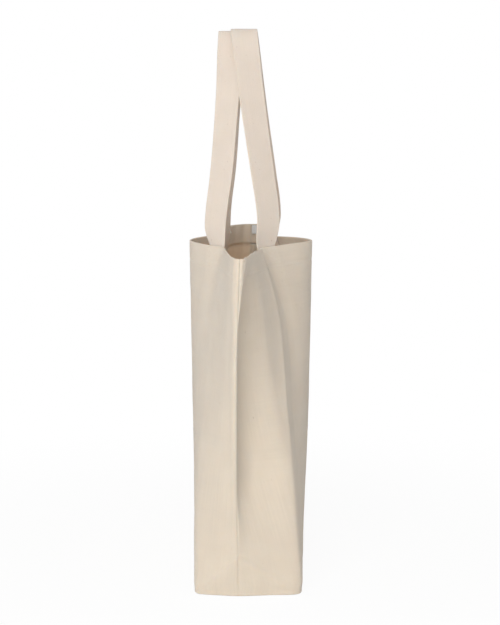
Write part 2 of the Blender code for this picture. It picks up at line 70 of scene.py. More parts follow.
# Handles
STRAP_WIDTH = 0.03175
STRAP_THICKNESS = 0.0016
HANDLE_SPACING = 0.158
HANDLE_RISE = 0.253
HANDLE_NESTING = 0.006
LOOP_ROUNDING = 0.040
SEWN_LENGTH = 0.021
FLEX_LENGTH = 0.030
STITCH_BOX_WIDTH = 0.025
STITCH_BOX_HEIGHT = 0.0165
STITCH_BOX_MARGIN = 0.0025

# Label on the inside of the back hem
LABEL_LENGTH = 0.025
LABEL_HEIGHT = 0.012
LABEL_THICKNESS = 0.0004
LABEL_SEAM_DISTANCE = 0.0015
LABEL_DROP = 0.0015

# Plan sections of one half panel, from the middle of the panel to the side seam. Each row holds
# a height share and seven points: middle, bulge, valley, ridge, end face, nose and seam.
# A point is a share of the half width and a share of the half depth, outwards.
FRONT_SECTION_SHARES = (
    (0.00, ((0, 1.123), (0.42, 1.065), (0.86, 1.035), (1.03, 0.975),
            (1.056, 0.667), (1.07, 0.386), (1.076, 0.158))),
    (0.12, ((0, 1.143), (0.409, 1.11), (0.8, 1.07), (0.985, 0.98),
            (1.045, 0.664), (1.077, 0.384), (1.092, 0.166))),
    (0.50, ((0, 1.23), (0.399, 1.152), (0.64, 1.039), (0.819, 0.874),
            (0.966, 0.606), (1.092, 0.338), (1.16, 0.173))),
    (0.85, ((0, 1.29), (0.378, 1.014), (0.525, 0.808), (0.672, 0.67),
            (0.924, 0.456), (1.139, 0.258), (1.213, 0.137))),
    (1.00, ((0, 1.302), (0.352, 0.857), (0.499, 0.541), (0.651, 0.473),
            (0.913, 0.386), (1.165, 0.227), (1.228, 0.103))),
)
BACK_SECTION_SHARES = (
    (0.00, ((0, 1.123), (0.42, 1.115), (0.88, 1.11), (1.015, 1.07),
            (1.05, 0.491), (1.07, 0.088), (1.076, -0.158))),
    (0.12, ((0, 1.143), (0.409, 1.118), (0.82, 1.09), (0.98, 1.0),
            (1.043, 0.472), (1.075, 0.079), (1.092, -0.166))),
    (0.50, ((0, 1.247), (0.378, 1.16), (0.577, 1.013), (0.787, 0.797),
            (0.966, 0.346), (1.097, -0.026), (1.16, -0.173))),
    (0.85, ((0, 1.29), (0.346, 0.98), (0.446, 0.705), (0.588, 0.515),
            (0.892, 0.215), (1.155, -0.043), (1.213, -0.137))),
    (1.00, ((0, 1.302), (0.341, 0.634), (0.478, 0.314), (0.619, 0.232),
            (0.882, 0.111), (1.165, -0.018), (1.228, -0.103))),
)

# How far the left end of the mouth stands wider open than the right one: by column, a share of the
# half depth at the rim. It starts at a share of the height.
MOUTH_SPREAD_SHARES = ((0, 0), (2, 0), (2.2, 0), (3, 0.05), (4, 0.22), (5, 0.25), (6, 0))
MOUTH_SPREAD_START_SHARE = 0.45

# Along a handle's leg, by its share of the rise: the share of its lean inwards that it has made,
# and the share of its quarter turn from the hem's direction to square across the bag.
FRONT_LEAN_SHARES = ((0, 0), (0.08, -0.14), (0.16, -0.06), (0.3, 0.23), (0.6, 0.62), (1, 1))
BACK_LEAN_SHARES = ((0, 0), (0.08, 0.02), (0.16, 0.05), (0.3, 0.21), (0.6, 0.57), (1, 1))
FRONT_TURN_SHARES = ((0, 0), (0.08, 0.32), (0.16, 0.38), (0.3, 0.42), (0.6, 0.48), (0.8, 0.62), (1, 1))
BACK_TURN_SHARES = ((0, 0), (0.08, 0.32), (0.16, 0.38), (0.3, 0.44), (0.6, 0.58), (0.8, 0.72), (1, 1))
# Where a handle's top lies, as a share of the half depth from the middle, outwards
FRONT_TOP_SHARE = 0.4
BACK_TOP_SHARE = -0.145
# By its share of the rise, how far the front handle draws in under the back one
NESTING_SHARES = ((0, 0), (0.3, 0), (0.55, 1), (0.85, 1), (1, 0.42))

# Values that follow from the sizes above
HALF_WIDTH = BAG_WIDTH / 2
HALF_DEPTH = BAG_DEPTH / 2
FRONT = -1
BACK = 1
RIGHT = 1
LEFT = -1
SPANS = len(FRONT_SECTION_SHARES[0][1]) - 1
RIDGE_COLUMN = 3
VALLEY_COLUMN = 2
LAYER = CLOTH + PIECE_GAP
HEM_BOTTOM = BAG_HEIGHT - HEM_DEPTH
HEM_STITCH_HEIGHT = HEM_BOTTOM + HEM_STITCH_MARGIN
HEM_THICKNESS = LAYER + CLOTH
FOLD_RADIUS = HEM_THICKNESS / 2
STRAP_DEPTH = 2 * LAYER
STRAP_MIDDLE_DEPTH = STRAP_DEPTH + STRAP_THICKNESS / 2
SMALL_STEP = 1e-4
MERGE_DISTANCE = 1e-6

# Side seam: the groove between the two panels and the lifted edges beside it
SEAM_GROOVE_DEPTH = 0.0004
SEAM_GROOVE_WIDTH = 0.0006
SEAM_RIDGE_HEIGHT = {FRONT: 0.0002, BACK: 0.0004}
SEAM_RIDGE_PLACE = 0.0022
SEAM_RIDGE_WIDTH = 0.0014
SEAM_FADE_BOTTOM = 0.02
SEAM_FADE_REACH = 0.06

# The pressed fold in the middle of an end: its crest runs beside the seam on the front panel, with
# a round cheek in front of it and a hollow cove behind it. Upwards it crosses the seam.
CHEEK_HEIGHT = 0.0034
CHEEK_REACH = 0.024
CREST_PLACE_SHARES = ((0, 1), (0.5, 1), (0.66, 0.8), (0.8, 0.1), (1, -1.6))
CREST_PLACE = 0.0052
COVE_DEPTH = 0.019
COVE_REACH = 0.032
COVE_RETURN = 0.052
COVE_SHARPNESS = 1.75
FOLD_BOTTOM = 0.035
FOLD_BOTTOM_REACH = 0.11
FOLD_TOP_REACH = 0.06
# Under the rim the end is blunt, between two soft edges
LIP_HEIGHT = 0.0028
LIP_PLACE = 0.0085
LIP_WIDTH = 0.0055
LIP_REACH = 0.075

# Pressed creases of a bag that was packed flat
RIDGE_CREASE_HEIGHT = {FRONT: 0.0005, BACK: 0.0026}
RIDGE_CREASE_WIDTH = 0.010
VALLEY_DEPTH = {FRONT: 0.0, BACK: 0.0055}
VALLEY_RETURN = 0.07
VALLEY_BOTTOM = 0.05
VALLEY_FADE = 0.15
GUSSET_HEIGHT = 0.046
GUSSET_CREASE_HEIGHT = {FRONT: 0.0042, BACK: 0.0034}
GUSSET_SOFTNESS = 0.0065
GUSSET_RISE = 3
PUCKER_HEIGHT = 0.0008
PUCKER_LENGTH = 0.0045
PUCKER_REACH = 0.022
PUCKER_BAND_SHARE = 1.3

# Wrinkles all over the cloth: how far they stand out, their width and their share of length to width
WRINKLES = ((0.0010, 0.075, 2.2), (0.00035, 0.026, 1.6), (0.00012, 0.009, 1.2))
WRINKLE_FADE = 0.012
HEM_PULL_DEPTH = 0.00035
HEM_PULL_WIDTH = 0.0018

# Stitches
STITCH_PITCH = 0.0031
STITCH_SHARE = 0.84
STITCH_JITTER_SHARE = 0.04
STITCH_SINK = 0.0011
STITCH_LIFT = 0.00005
STITCH_SIDES = 6
STITCH_RINGS = 6
BOX_LINE_POINTS = 9
EDGE_STITCH_MARGIN = 0.0024
EDGE_STITCH_DIP = 0.00018
EDGE_STITCH_DIP_WIDTH = 0.0009
OVERLOCK_PITCH = 0.0022
OVERLOCK_WIDTH = 0.0045

# Mesh density
ARC_STEPS = 400
CURVE_STEPS = 400
SEAM_COLUMN_STEP = 0.00055
SEAM_COLUMN_GROWTH = 0.00005
PLAIN_COLUMN_STEP = 0.0025
FLOOR_ROWS = 10
LABEL_COLUMNS = 30
LABEL_ROWS = 12
ALLOWANCE_STEPS = 7
CORNER_COLUMNS = 2.0
CORNER_STEP = 0.11
EDGE_ROWS = 7
WALL_ROWS = 140
HEM_EDGE_ROWS = 5
HEM_ROWS = 18
FOLD_ROWS = 6
STRAP_STEPS = 26
STRAP_ROW_STEP = 0.0018
STRAP_CROWDING_SHARE = 0.7


# Curves through points
def between(first, last, first_slope, last_slope, share):
    """A cubic from one point to the next, with the given slopes per whole span."""
    square = share * share
    cube = square * share
    return (
        (2 * cube - 3 * square + 1) * first
        + (cube - 2 * square + share) * first_slope
        + (3 * square - 2 * cube) * last
        + (cube - square) * last_slope
    )


def through(places, values, at):
    """A smooth curve through values given at rising places."""
    places = np.asarray(places, float)
    values = np.asarray(values, float)
    steps = np.diff(places)
    rises = (np.diff(values, axis=0).T / steps).T
    slopes = np.empty_like(values)
    slopes[0] = rises[0]
    slopes[-1] = rises[-1]
    for i in range(1, len(places) - 1):
        whole = steps[i - 1] + steps[i]
        slopes[i] = (rises[i - 1] * steps[i] + rises[i] * steps[i - 1]) / whole
    i = int(np.clip(np.searchsorted(places, at) - 1, 0, len(steps) - 1))
    share = (at - places[i]) / steps[i]
    return between(values[i], values[i + 1], slopes[i] * steps[i], slopes[i + 1] * steps[i], share)


def from_shares(table, at):
    """The value at one share, from a table of share and value pairs."""
    places, values = zip(*table)
    return float(through(places, values, at))


def smooth(share):
    """Rises from 0 to 1 with level ends."""
    share = np.clip(share, 0, 1)
    return share * share * (3 - 2 * share)


def unit(vectors):
    """Vectors of length 1."""
    return vectors / np.linalg.norm(vectors, axis=-1, keepdims=True)


def hump(distance, width):
    """A soft bump, 1 in its middle."""
    return np.exp(-((distance / width) ** 2))


def lengths_along(points):
    """Distances from the first point to each point, along the line."""
    steps = np.linalg.norm(np.diff(points, axis=0), axis=1)
    return np.concatenate([[0], np.cumsum(steps)])


# The bag's plain surface
@functools.cache
def section_points(side, height):
    """The seven plan points of one half panel at a height."""
    table = FRONT_SECTION_SHARES if side == FRONT else BACK_SECTION_SHARES
    heights = [row[0] for row in table]
    points = through(heights, [row[1] for row in table], height / BAG_HEIGHT)
    return points * (HALF_WIDTH, side * HALF_DEPTH)


@functools.cache
def spread_curve():
    """Columns and how far each stands further out in the left half, at the rim."""
    columns = np.linspace(0, SPANS, ARC_STEPS)
    return columns, HALF_DEPTH * np.array([from_shares(MOUTH_SPREAD_SHARES, column) for column in columns])


def left_spread(columns, height):
    """How much further out columns of the left half lie than their fellows on the right."""
    start = MOUTH_SPREAD_START_SHARE
    known, spread = spread_curve()
    return np.interp(-columns, known, spread) * smooth((height / BAG_HEIGHT - start) / (1 - start))


def plan_points(side, columns, height):
    """Plan places of columns, 0 at the panel's middle and SPANS at the right-hand seam."""
    points = section_points(side, height)
    spans = np.diff(points, axis=0)
    lengths = np.linalg.norm(spans, axis=1)[:, None]
    chords = spans / lengths
    slopes = np.empty_like(points)
    slopes[0] = (1, 0)
    slopes[-1] = (0, -side)
    for i in range(1, SPANS):
        whole = lengths[i - 1] + lengths[i]
        slopes[i] = (chords[i - 1] * lengths[i] + chords[i] * lengths[i - 1]) / whole
    i = np.minimum(np.abs(columns).astype(int), SPANS - 1)
    share = (np.abs(columns) - i)[:, None]
    places = between(points[i], points[i + 1], slopes[i] * lengths[i], slopes[i + 1] * lengths[i], share)
    places[:, 0] = np.copysign(places[:, 0], columns)
    places[:, 1] += side * left_spread(columns, height)
    return places


def plain_points(side, columns, height):
    """Points of the plain wall at one height."""
    places = plan_points(side, columns, height)
    return np.column_stack([places, np.full(len(places), height)])


def wall_normals(side, columns, height):
    """The outward directions, square to the plain cloth."""
    after = np.clip(columns + SMALL_STEP, -SPANS, SPANS)
    before = np.clip(columns - SMALL_STEP, -SPANS, SPANS)
    along = plain_points(side, after, height) - plain_points(side, before, height)
    up = plain_points(side, columns, height + SMALL_STEP) - plain_points(side, columns, height - SMALL_STEP)
    return unit(np.cross(along, up) * -side)


@functools.cache
def arc_table(side, height):
    """Columns from seam to seam, and their signed distances from the panel's middle along the cloth."""
    columns = np.linspace(-SPANS, SPANS, 2 * ARC_STEPS + 1)
    lengths = lengths_along(plan_points(side, columns, height))
    return columns, lengths - lengths[ARC_STEPS]


def arc_places(side, columns, height):
    """Signed distances of columns from the panel's middle, along the cloth."""
    known, lengths = arc_table(side, height)
    return np.interp(columns, known, lengths)


def arc_columns(side, places, height):
    """The columns that lie at signed distances from the panel's middle, along the cloth."""
    known, lengths = arc_table(side, height)
    return np.interp(places, lengths, known)


# What stands out from the plain surface
def seam_distances(side, places, height):
    """How far places along a panel lie from the side seam of their own half."""
    left, right = arc_places(side, np.array([-SPANS, SPANS], float), height)
    return np.where(places < 0, places - left, right - places)


def column_distances(side, column, places, height):
    """How far a column lies from the panel's middle, in the half of each place."""
    left, right = arc_places(side, np.array([-column, column], float), height)
    return np.where(places < 0, -left, right)


def seam_relief(side, to_seam, height):
    """The groove of the side seam and the lifted edge beside it."""
    groove = -SEAM_GROOVE_DEPTH * hump(to_seam, SEAM_GROOVE_WIDTH)
    ridge = SEAM_RIDGE_HEIGHT[side] * hump(to_seam - SEAM_RIDGE_PLACE, SEAM_RIDGE_WIDTH)
    return (groove + ridge) * smooth((height - SEAM_FADE_BOTTOM) / SEAM_FADE_REACH)


def fold_relief(side, to_seam, height):
    """The middle fold of an end, across both panels: the cheek, the crest and the cove."""
    beyond = to_seam * side + CREST_PLACE * from_shares(CREST_PLACE_SHARES, height / BAG_HEIGHT)
    before = np.maximum(-beyond, 0) / CHEEK_REACH
    cheek = CHEEK_HEIGHT * before * np.exp(1 - before)
    fall = 1 - (1 - np.clip(beyond / COVE_REACH, 0, 1)) ** COVE_SHARPNESS
    cove = COVE_DEPTH * fall * (1 - smooth((beyond - COVE_REACH) / COVE_RETURN))
    to_rim = BAG_HEIGHT - height
    fade = smooth((height - FOLD_BOTTOM) / FOLD_BOTTOM_REACH) * smooth(to_rim / FOLD_TOP_REACH)
    lip = LIP_HEIGHT * hump(to_seam - LIP_PLACE, LIP_WIDTH) * smooth(1 - to_rim / LIP_REACH)
    return (cheek - cove) * fade + lip


def ridge_relief(side, places, height):
    """The crease where an end turns into a face, and the steep strip of the face beside it."""
    ridge = column_distances(side, RIDGE_COLUMN, places, height)
    width = ridge - column_distances(side, VALLEY_COLUMN, places, height)
    inwards = ridge - np.abs(places)
    crease = RIDGE_CREASE_HEIGHT[side] * np.exp(-np.abs(inwards) / RIDGE_CREASE_WIDTH)
    depth = VALLEY_DEPTH[side] * smooth((height - VALLEY_BOTTOM) / VALLEY_FADE)
    strip = np.clip(inwards / width, 0, 1) * (1 - smooth((inwards - width) / VALLEY_RETURN))
    return crease - depth * strip


def gusset_relief(side, places, height):
    """The slanting crease from a bottom corner up to the seam, and the flat below it."""
    ridge = column_distances(side, RIDGE_COLUMN, places, height)
    to_seam = seam_distances(side, places, height)
    whole = np.abs(places) + to_seam
    share = np.clip((np.abs(places) - ridge) / (whole - ridge), 0, 1)
    crease = GUSSET_HEIGHT * share
    above = np.maximum(height - crease, 0)
    below = height / np.maximum(crease, SMALL_STEP)
    lift = np.where(height > crease, np.exp(-above / GUSSET_SOFTNESS), below)
    band = hump(height - GUSSET_HEIGHT, PUCKER_LENGTH * PUCKER_BAND_SHARE)
    puckers = np.sin(2 * math.pi * height / PUCKER_LENGTH) * band
    near = smooth((places > 0) * (1 - to_seam / PUCKER_REACH))
    pucker = PUCKER_HEIGHT * puckers * near if side == FRONT else 0
    return GUSSET_CREASE_HEIGHT[side] * lift * smooth(share * GUSSET_RISE) + pucker


def hem_relief(height):
    """The cloth is drawn in along the hem's stitching."""
    return -HEM_PULL_DEPTH * hump(height - HEM_STITCH_HEIGHT, HEM_PULL_WIDTH)


def wrinkle_relief(points):
    """Soft folds and dents of several sizes, longer upwards than across."""
    total = np.zeros(len(points))
    for rise, width, stretch in WRINKLES:
        scale = np.array((1, 1, 1 / stretch)) / width
        total += [rise * noise.noise(Vector(point)) for point in points * scale]
    return total


def relief(side, columns, height):
    """How far the cloth stands out from the plain wall."""
    places = arc_places(side, columns, height)
    to_seam = seam_distances(side, places, height)
    out = seam_relief(side, to_seam, height) + fold_relief(side, to_seam, height)
    out = out + ridge_relief(side, places, height) + gusset_relief(side, places, height)
    out = out + wrinkle_relief(plain_points(side, columns, height))
    return out * smooth((height - BOTTOM_RADIUS) / WRINKLE_FADE) + hem_relief(height)


def cloth_points(side, columns, height, depths=0.0):
    """Points of the finished wall, as deep inside its outer face as told."""
    columns = np.asarray(columns, float)
    lift = relief(side, columns, height) - depths
    return plain_points(side, columns, height) + wall_normals(side, columns, height) * lift[:, None]


def edge_points(side, columns, share, depth):
    """Round the bottom edge: share 0 at the wall, 1 at the floor."""
    out = wall_normals(side, columns, BOTTOM_RADIUS)
    out[:, 2] = 0
    out = unit(out)
    angle = share * math.pi / 2
    centre = plain_points(side, columns, BOTTOM_RADIUS) - out * BOTTOM_RADIUS
    turned = out * math.cos(angle) - np.array((0, 0, 1)) * math.sin(angle)
    return centre + turned * (BOTTOM_RADIUS - depth)


def floor_points(side, columns, share, depth):
    """On the floor: share 0 at the bottom edge, 1 at the bottom seam in the middle."""
    edge = edge_points(side, columns, 1, depth)
    turn = SPANS / 2
    last = np.max(np.abs(columns))
    corner = edge_points(side, np.array([turn, last]), 1, depth)
    reach = corner[1, 0] - HALF_DEPTH
    near = edge[:, 0] * reach / corner[0, 0]
    part = (np.abs(columns) - turn) / (last - turn)
    far = np.copysign(reach + (corner[1, 0] - reach) * part, columns)
    x = np.where(np.abs(columns) <= turn, near, far)
    middle = np.column_stack([x, np.full(len(x), corner[1, 1]), np.full(len(x), depth)])
    return edge + (middle - edge) * share


# Building meshes
def add_piece(name, bm, material):
    """Puts a finished piece, with its material, into the scene."""
    mesh = bpy.data.meshes.new(name)
    bm.to_mesh(mesh)
    bm.free()
    mesh.materials.append(material)
    mesh.shade_smooth()
    piece = bpy.data.objects.new(name, mesh)
    bpy.context.scene.collection.objects.link(piece)
    return piece


def loft(name, loops, cloth, material):
    """A closed skin through rows of points, each row once round the piece.

    The cloth values of each point are its place across and along the cloth, in metres, and
    whether it is the inside of a single layer, which gets a painted glow that stands in for light coming
    through.
    """
    loops = np.asarray(loops)
    cloth = np.asarray(cloth)
    rows, points = loops.shape[:2]
    bm = bmesh.new()
    layer = bm.verts.layers.float_vector.new("cloth")
    grid = bmesh.ops.create_grid(bm, x_segments=points, y_segments=rows - 1, size=1)
    places = np.concatenate([loops, loops[:, :1]], axis=1).reshape(-1, 3)
    marks = np.concatenate([cloth, cloth[:, :1]], axis=1).reshape(-1, 3)
    for vertex, place, mark in zip(grid["verts"], places, marks):
        vertex.co = place
        vertex[layer] = mark
    bmesh.ops.remove_doubles(bm, verts=bm.verts, dist=MERGE_DISTANCE)
    bmesh.ops.recalc_face_normals(bm, faces=bm.faces)
    return add_piece(name, bm, material)


def row_marks(across, along):
    """The cloth values of a row that lies at one place along the cloth, and isn't lit through."""
    return np.column_stack([across, np.full(len(across), along), np.zeros(len(across))])


# The two panels, each with its turned-in hem
def seam_columns(side, end, distances, height):
    """The columns of an end's half at distances from its side seam, along the cloth."""
    seam = arc_places(side, np.array([end * SPANS], float), height)[0]
    return arc_columns(side, seam - end * np.asarray(distances), height)


def half_columns(side, end):
    """Columns of one half panel from its seam inwards, close together near the seam."""
    height = BAG_HEIGHT / 2
    whole = abs(arc_places(side, np.array([end * SPANS], float), height)[0])
    distance = SEAM_GAP / 2
    step = SEAM_COLUMN_STEP
    distances = [distance]
    while distance + step < whole:
        distance += step
        distances.append(distance)
        step = min(step + SEAM_COLUMN_GROWTH, PLAIN_COLUMN_STEP)
    return seam_columns(side, end, distances, height)


@functools.cache
def panel_columns(side):
    """The columns of a whole panel, from its left seam to its right one."""
    return np.concatenate([half_columns(side, LEFT), [0.0], half_columns(side, RIGHT)[::-1]])


def wall_heights():
    """Heights and depths of the rows of a panel's wall: the outer face and the inner one."""
    plain = np.linspace(BOTTOM_RADIUS, HEM_BOTTOM, WALL_ROWS, endpoint=False)
    turn = np.linspace(0, math.pi / 2, HEM_EDGE_ROWS)
    edge = HEM_BOTTOM + CLOTH * (1 - np.cos(turn))
    hem = np.linspace(edge[-1], BAG_HEIGHT - FOLD_RADIUS, HEM_ROWS + 1)[1:]
    heights = np.concatenate([plain, edge, hem])
    inner = [np.full(WALL_ROWS, CLOTH), CLOTH + LAYER * np.sin(turn), np.full(HEM_ROWS, HEM_THICKNESS)]
    return heights, np.zeros(len(heights)), np.concatenate(inner)


def panel_rows(side, inside):
    """Rows of one face of a panel, from the bottom seam to the fold at the rim."""
    columns = panel_columns(side)
    depth = CLOTH if inside else 0.0
    rows = [floor_points(side, columns, 1, CLOTH / 2)]
    rows += [floor_points(side, columns, 1 - i / FLOOR_ROWS, depth) for i in range(FLOOR_ROWS)]
    rows += [edge_points(side, columns, 1 - i / EDGE_ROWS, depth) for i in range(EDGE_ROWS)]
    heights, outer, inner = wall_heights()
    depths = inner if inside else outer
    rows += [cloth_points(side, columns, height, depth) for height, depth in zip(heights, depths)]
    for angle in np.linspace(0, math.pi / 2, FOLD_ROWS + 1)[1:]:
        height = BAG_HEIGHT - FOLD_RADIUS * (1 - math.sin(angle))
        reach = FOLD_RADIUS * math.cos(angle)
        rows.append(cloth_points(side, columns, height, FOLD_RADIUS + (reach if inside else -reach)))
    return np.array(rows)


def cloth_marks(side, rows, inside):
    """Cloth values for every point of a panel's rows. Light comes through below the hem only, shown there as
    a painted glow on the inside.
    """
    middle = rows.shape[1] // 2
    steps = np.linalg.norm(np.diff(rows, axis=1), axis=2)
    across = np.concatenate([np.zeros((len(rows), 1)), np.cumsum(steps, axis=1)], axis=1)
    across -= across[:, middle:middle + 1]
    up = np.repeat(lengths_along(rows[:, middle])[:, None], rows.shape[1], axis=1)
    single = np.zeros(across.shape)
    # The inside below the hem is marked for the painted glow
    if inside:
        single[:FLOOR_ROWS + EDGE_ROWS + WALL_ROWS] = 1.0
    return np.dstack([across, up, single])


def make_panel(name, side, material):
    """One face, half of each end and half of the bottom, with the hem folded in at the rim."""
    faces = []
    marks = []
    for inside in (False, True):
        rows = panel_rows(side, inside)
        mark = cloth_marks(side, rows, inside)
        faces.append(rows[:, ::-1] if inside else rows)
        marks.append(mark[:, ::-1] if inside else mark)
    return loft(name, np.concatenate(faces, axis=1), np.concatenate(marks, axis=1), material)


# The handles
@functools.cache
def strap_middle(side):
    """The arc place of a strap's middle on the hem."""
    columns = np.linspace(0, SPANS, ARC_STEPS)
    xs = plan_points(side, columns, BAG_HEIGHT)[:, 0]
    column = np.interp(HANDLE_SPACING / 2, xs, columns)
    return arc_places(side, np.array([column]), BAG_HEIGHT)[0]


def strap_columns(side, places):
    """Columns under a strap on the right, at places across it."""
    return arc_columns(side, strap_middle(side) + np.asarray(places), BAG_HEIGHT)


@functools.cache
def rim_edges(side):
    """Where the strap's two edges cross the rim on the right, in the middle of its thickness."""
    columns = strap_columns(side, (-STRAP_WIDTH / 2, STRAP_WIDTH / 2))
    points = plain_points(side, columns, BAG_HEIGHT)
    return points - wall_normals(side, columns, BAG_HEIGHT) * STRAP_MIDDLE_DEPTH


@functools.cache
def loop_outline(side):
    """Places along the right leg from the rim to the top, as (x, height above the rim)."""
    far, near = rim_edges(side)
    start = (far[0] + near[0]) / 2
    reach = math.hypot(start, LOOP_ROUNDING) - LOOP_ROUNDING
    outline = []
    for x in np.linspace(start, 0, CURVE_STEPS):
        slant = math.hypot(x, LOOP_ROUNDING)
        place = np.array((x, HANDLE_RISE * (1 - (slant - LOOP_ROUNDING) / reach)))
        if side == FRONT:
            out = np.array((HANDLE_RISE / reach * x / slant, 1))
            nesting = HANDLE_NESTING * from_shares(NESTING_SHARES, place[1] / HANDLE_RISE)
            place = place - out / np.linalg.norm(out) * nesting
        outline.append(place)
    return np.array(outline)


@functools.cache
def leg_length(side):
    """How long a leg is, from the rim to the top of the loop."""
    return lengths_along(loop_outline(side))[-1]


def leg_line(side, distance):
    """The strap's middle and its direction across, a distance up the right leg from the rim."""
    outline = loop_outline(side)
    lengths = lengths_along(outline)
    far, near = rim_edges(side)
    start_y = (far[1] + near[1]) / 2
    start_turn = math.atan2(abs(near[1] - far[1]), near[0] - far[0])
    lean = FRONT_LEAN_SHARES if side == FRONT else BACK_LEAN_SHARES
    turn = FRONT_TURN_SHARES if side == FRONT else BACK_TURN_SHARES
    top_y = side * HALF_DEPTH * (FRONT_TOP_SHARE if side == FRONT else BACK_TOP_SHARE)
    x = np.interp(distance, lengths, outline[:, 0])
    rise = np.interp(distance, lengths, outline[:, 1])
    share = rise / outline[-1][1]
    y = start_y + (top_y - start_y) * from_shares(lean, share)
    angle = start_turn + (math.pi / 2 - start_turn) * from_shares(turn, share)
    return np.array((x, y, BAG_HEIGHT + rise)), np.array((math.cos(angle), -side * math.sin(angle), 0))


@functools.cache
def leg_frame(side, distance):
    """The strap's middle, and its directions across and outwards."""
    whole = leg_length(side)
    middle, across = leg_line(side, distance)
    before, _ = leg_line(side, max(distance - SMALL_STEP, 0))
    after, _ = leg_line(side, min(distance + SMALL_STEP, whole))
    along = np.array((-1.0, 0, 0)) if distance >= whole else unit(after - before)
    squared = np.clip(distance / FLEX_LENGTH, 0, 1)
    across = unit(across - along * np.dot(across, along) * squared)
    return middle, across, unit(np.cross(across, along) * -side)


def strap_points(side, distance, places, lifts):
    """Points of a right leg: places across the strap, lifted from the middle of its thickness.

    A distance below zero lies on the sewn end, under the rim.
    """
    places = np.asarray(places, float)
    lifts = np.asarray(lifts, float)
    columns = strap_columns(side, places)
    if distance <= 0:
        return cloth_points(side, columns, BAG_HEIGHT + distance, STRAP_MIDDLE_DEPTH - lifts)
    middle, across, out = leg_frame(side, distance)
    points = middle + across * places[:, None] + out * lifts[:, None]
    fade = 1 - smooth(distance / FLEX_LENGTH)
    start, start_across, _ = leg_frame(side, 0.0)
    sewn = cloth_points(side, columns, BAG_HEIGHT, STRAP_MIDDLE_DEPTH)
    return points + (sewn - start - start_across * places[:, None]) * fade


def half_thickness(places):
    """Half of the strap's thickness: round folded edges, drawn in along both rows of stitches."""
    from_edge = STRAP_WIDTH / 2 - np.abs(places)
    radius = STRAP_THICKNESS / 2
    inside = np.clip(1 - from_edge / radius, 0, 1)
    round_edge = radius * np.sqrt(1 - inside**2)
    return round_edge - EDGE_STITCH_DIP * hump(from_edge - EDGE_STITCH_MARGIN, EDGE_STITCH_DIP_WIDTH)


def strap_places():
    """Places across the strap, closer together near its edges."""
    shares = np.sin(np.linspace(-1, 1, STRAP_STEPS) * math.pi / 2)
    plain = np.linspace(-1, 1, STRAP_STEPS)
    crowding = STRAP_CROWDING_SHARE
    return (crowding * shares + (1 - crowding) * plain) * STRAP_WIDTH / 2


@functools.cache
def strap_distances(side):
    """Distances along one leg, from the sewn end's lower edge up to the top of the loop."""
    count = int((SEWN_LENGTH + leg_length(side)) / STRAP_ROW_STEP)
    return np.linspace(-SEWN_LENGTH, leg_length(side), count)


def strap_skin(side, distance):
    """One closed row round the strap, and its cloth values."""
    places = strap_places()
    half = half_thickness(places)
    half[[0, -1]] = 0
    over = strap_points(side, distance, places, half)
    under = strap_points(side, distance, places[1:-1], -half[1:-1])
    across = np.concatenate([places, places[1:-1][::-1] + STRAP_WIDTH])
    return np.concatenate([over, under[::-1]]), row_marks(across, distance)


def flat_end(row):
    """Closes a row onto the strap's middle line."""
    over = row[1:STRAP_STEPS - 1]
    under = row[STRAP_STEPS:][::-1]
    middle = (over + under) / 2
    return np.concatenate([row[:1], middle, row[STRAP_STEPS - 1:STRAP_STEPS], middle[::-1]])


def both_legs(rows):
    """Rows up the right leg, and on down the left one."""
    return np.concatenate([rows, rows[:-1][::-1] * (-1, 1, 1)])


def make_strap(name, side, material):
    """A whole strap: both sewn ends and the loop between them."""
    skins = [strap_skin(side, distance) for distance in strap_distances(side)]
    rows, marks = (np.array(part) for part in zip(*skins))
    rows = np.concatenate([[flat_end(rows[0])], rows])
    marks = np.concatenate([marks[:1], marks])
    left_marks = marks[:-1][::-1] * (1, -1, 1) + (0, 2 * leg_length(side), 0)
    return loft(name, both_legs(rows), np.concatenate([marks, left_marks]), material)


# Stitches
def stitch_form():
    """One stitch of unit length along X, both ends diving into the cloth."""
    bm = bmesh.new()
    bmesh.ops.create_uvsphere(bm, u_segments=STITCH_SIDES, v_segments=STITCH_RINGS, radius=0.5)
    bmesh.ops.rotate(bm, verts=bm.verts, matrix=Matrix.Rotation(math.pi / 2, 3, "Y"))
    bmesh.ops.scale(bm, verts=bm.verts, vec=(1, THREAD, THREAD))
    for vertex in bm.verts:
        vertex.co.z -= STITCH_SINK * vertex.co.x**2
    mesh = bpy.data.meshes.new("stitch_form")
    bm.to_mesh(mesh)
    bm.free()
    return mesh


def sew(name, runs, material):
    """A row of stitches along each run, which is a line of points and their outward directions."""
    form = stitch_form()
    draw = random.Random(name)
    bm = bmesh.new()
    for points, normals in runs:
        lengths = lengths_along(points)
        count = max(int(lengths[-1] / STITCH_PITCH), 1)
        step = lengths[-1] / count
        for i in range(count):
            jitter = draw.uniform(-STITCH_JITTER_SHARE, STITCH_JITTER_SHARE)
            start = (i + (1 - STITCH_SHARE) / 2 + jitter) * step
            ends = [start, start + step * STITCH_SHARE]
            first, last = (np.array([np.interp(e, lengths, points[:, k]) for k in range(3)]) for e in ends)
            middle = start + step * STITCH_SHARE / 2
            out = unit(np.array([np.interp(middle, lengths, normals[:, k]) for k in range(3)]))
            along = last - first
            out = unit(out - along * np.dot(out, along) / np.dot(along, along))
            beside = np.cross(out, unit(along))
            place = (first + last) / 2
            matrix = Matrix(np.column_stack([along, beside, out, place]).tolist() + [[0, 0, 0, 1]])
            stitch = form.copy()
            stitch.transform(matrix)
            bm.from_mesh(stitch)
            bpy.data.meshes.remove(stitch)
    bpy.data.meshes.remove(form)
    return add_piece(name, bm, material)


def level_run(side, columns, height, depth):
    """A level line on the wall, and the directions away from the cloth."""
    facing = -1 if depth > 0 else 1
    return cloth_points(side, columns, height, depth), wall_normals(side, columns, height) * facing


